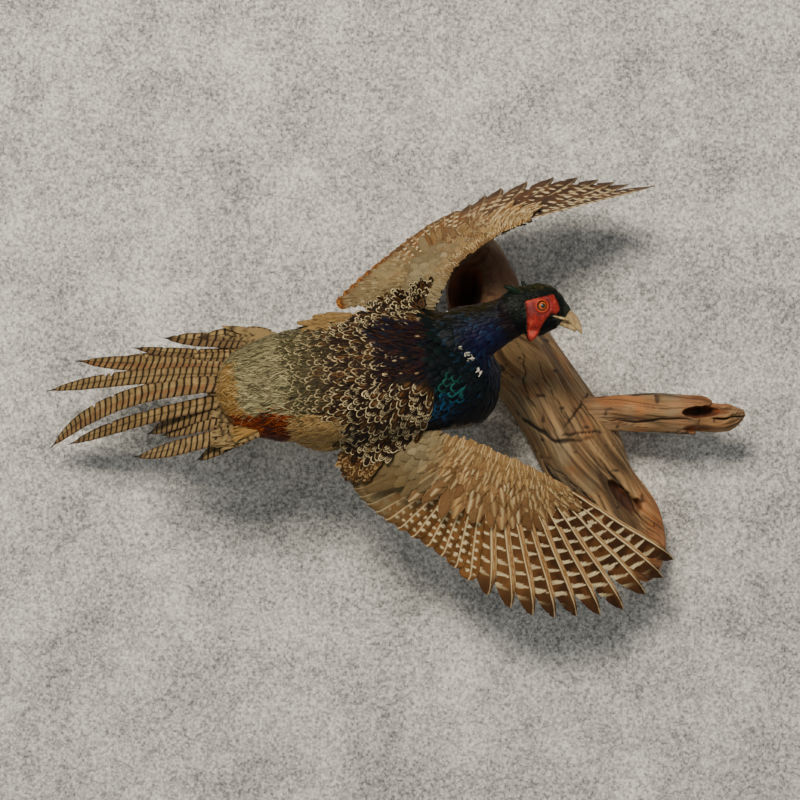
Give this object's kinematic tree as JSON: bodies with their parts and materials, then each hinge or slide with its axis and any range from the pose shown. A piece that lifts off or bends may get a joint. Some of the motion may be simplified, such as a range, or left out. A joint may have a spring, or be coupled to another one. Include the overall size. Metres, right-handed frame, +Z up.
{
  "type": "taxidermy pheasant",
  "caption": "Life-size mounted cock pheasant in flight, wings spread and tail fanned, on a driftwood stand with a flat sawn back that hangs on a wall",
  "frame": {"origin": "on the sawn flat back of the driftwood, where it hangs against the wall", "axes": "+Z up, +Y into the wall, +X the way the bird flies; the wall is the plane Y = 0 and everything stands out from it towards -Y"},
  "size_m": [0.7908, 0.2525, 0.4906],
  "materials": {
    "plumage_back": "contour feathers, dark brown with cream edges",
    "plumage_neck": "short glossy feathers, green to violet sheen",
    "plumage_head": "short glossy dark green feathers",
    "glass_eye": "cast glass eye, amber iris, polished",
    "wattle_skin": "bare red skin with fine papillae, matt",
    "plumage_wing": "silvery beige and brown covert feathers",
    "flight_feathers": "stiff vaned feathers, brown with pale bars",
    "plumage_flank": "soft beige flank feathers",
    "leg_scales": "dry scaled skin, horn claws, satin",
    "bill_horn": "pale horn, satin",
    "tail_feathers": "stiff vaned feathers, buff with dark bars",
    "driftwood": "weathered grey-brown driftwood, dry and cracked",
    "steel_rod": "plain steel rod"
  },
  "bodies": {
    "root": {"trunk": "plumage_back", "neck": "plumage_neck", "head": "plumage_head", "eye_right": "glass_eye", "wattle_right": "wattle_skin", "ear_tuft_right": "plumage_head", "wing_right_arm": "plumage_wing", "wing_right_secondaries": "flight_feathers", "wing_right_primaries": "flight_feathers", "thigh_right": "plumage_flank", "leg_right": "leg_scales", "eye_left": "glass_eye", "wattle_left": "wattle_skin", "ear_tuft_left": "plumage_head", "wing_left_arm": "plumage_wing", "wing_left_secondaries": "flight_feathers", "wing_left_primaries": "flight_feathers", "thigh_left": "plumage_flank", "leg_left": "leg_scales", "bill_upper": "bill_horn", "bill_lower": "bill_horn", "tail": "tail_feathers", "driftwood_log": "driftwood", "driftwood_branch": "driftwood", "support_rod": "steel_rod"}
  },
  "joints": []
}
